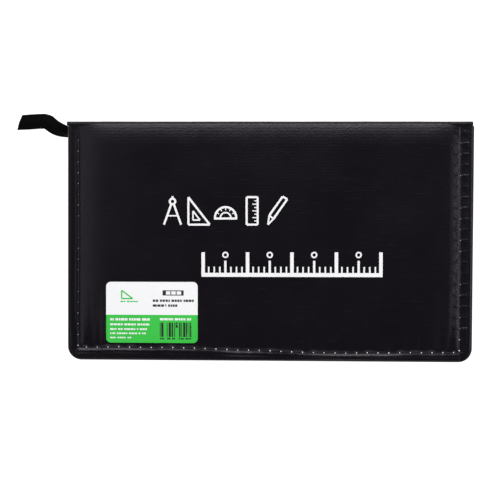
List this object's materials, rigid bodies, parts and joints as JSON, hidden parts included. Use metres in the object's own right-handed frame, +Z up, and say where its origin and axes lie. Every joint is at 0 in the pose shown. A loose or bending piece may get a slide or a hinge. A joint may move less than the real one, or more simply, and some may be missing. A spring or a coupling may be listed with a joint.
{
  "type": "drafting instrument case",
  "caption": "Black zip-round folding case for drafting instruments, with padded covers, spine, zipper and slider, elastic loops and lid pocket.",
  "frame": {"origin": "middle of the back cover's underside, where the closed case rests", "axes": "+Z up through the closed case to the front cover, +X along the spine towards the slider's closed end, +Y from the mouth to the spine"},
  "size_m": [0.2996, 0.1609, 0.0318],
  "materials": {
    "leather": "satin",
    "foam": "matte",
    "board": "matte",
    "lining": "matte",
    "zipper_tape": "matte",
    "zipper_coil": "satin",
    "zinc": "satin",
    "label": "gloss",
    "elastic": "matte",
    "clear_vinyl": "gloss",
    "clear_acrylic": "gloss",
    "white_plastic": "satin",
    "nickel": "satin",
    "steel": "polished",
    "graphite": "satin",
    "blue_plastic": "gloss",
    "grip_rubber": "matte",
    "clear_tube": "gloss",
    "amber_plastic": "gloss",
    "eraser": "matte",
    "sleeve_card": "satin"
  },
  "bodies": {
    "back_half": {"back_skin": "leather", "back_foam": "foam", "back_board": "board", "back_lining": "lining", "back_tape": "zipper_tape", "back_coil": "zipper_coil", "back_stop": "zinc", "zipper_tail": "zipper_tape", "strap_right": "elastic", "strap_left": "elastic", "compass_handle": "nickel", "compass_head": "nickel", "compass_pivot": "steel", "pencil_barrel": "blue_plastic", "pencil_grip": "grip_rubber", "pencil_tip": "nickel", "pencil_clip": "nickel", "extension_bar": "nickel", "extension_screw": "nickel", "lead_tube": "clear_tube", "lead_tube_cap": "blue_plastic", "spare_leads": "graphite", "screwdriver_handle": "amber_plastic", "screwdriver_blade": "steel", "ruling_pen": "nickel", "pen_screw": "nickel", "eraser": "eraser", "eraser_sleeve": "sleeve_card"},
    "spine": {"spine_skin": "leather", "spine_board": "board", "spine_lining": "lining"},
    "front_half": {"front_skin": "leather", "front_foam": "foam", "front_board": "board", "front_lining": "lining", "front_tape": "zipper_tape", "front_coil": "zipper_coil", "front_stop": "zinc", "label_sticker": "label", "pocket_sheet": "clear_vinyl", "pocket_binding": "elastic", "set_square_45": "clear_acrylic", "set_square_60": "clear_acrylic", "protractor": "clear_acrylic", "scale_rule": "white_plastic"},
    "slider": {"slider_body": "zinc"},
    "puller": {"slider_puller": "zinc"},
    "needle_leg": {"needle_leg": "nickel", "needle": "steel", "needle_screw": "nickel"},
    "lead_leg": {"lead_leg": "nickel", "lead_holder": "nickel", "compass_lead": "graphite", "lead_screw": "nickel"},
    "pencil_button": {"pencil_button": "nickel"}
  },
  "joints": [
    {"name": "spine_fold", "type": "hinge", "parent": "back_half", "child": "spine", "pos_m": [0, 0.077, 0.0033], "axis": [-1, 0, 0], "range_deg": [0, 90]},
    {"name": "lid_fold", "type": "hinge", "parent": "spine", "child": "front_half", "pos_m": [0, 0.077, 0.0283], "axis": [-1, 0, 0], "range_deg": [0, 90]},
    {"name": "slider_travel", "type": "slide", "parent": "back_half", "child": "slider", "axis": [0, -1, 0], "range_m": [0, 0.12], "deforming": ["back_coil", "front_coil"]},
    {"name": "puller_swing", "type": "hinge", "parent": "slider", "child": "puller", "pos_m": [0.13097, 0.06615, 0.0158], "axis": [0, 0, 1], "range_deg": [0, 160]},
    {"name": "needle_leg_open", "type": "hinge", "parent": "back_half", "child": "needle_leg", "pos_m": [0.062, 0.022, 0.00945], "axis": [0, 0, 1], "range_deg": [0, 13]},
    {"name": "lead_leg_open", "type": "hinge", "parent": "back_half", "child": "lead_leg", "pos_m": [0.062, 0.022, 0.00945], "axis": [0, 0, 1], "range_deg": [-13, 0]},
    {"name": "pencil_push", "type": "slide", "parent": "back_half", "child": "pencil_button", "axis": [-1, 0, 0], "range_m": [0, 0.003], "stiffness_N_per_m": 400}
  ],
  "couplings": [
    {"joint": "lid_fold", "follows": "spine_fold", "ratio": 1},
    {"joint": "lead_leg_open", "follows": "needle_leg_open", "ratio": -1}
  ]
}
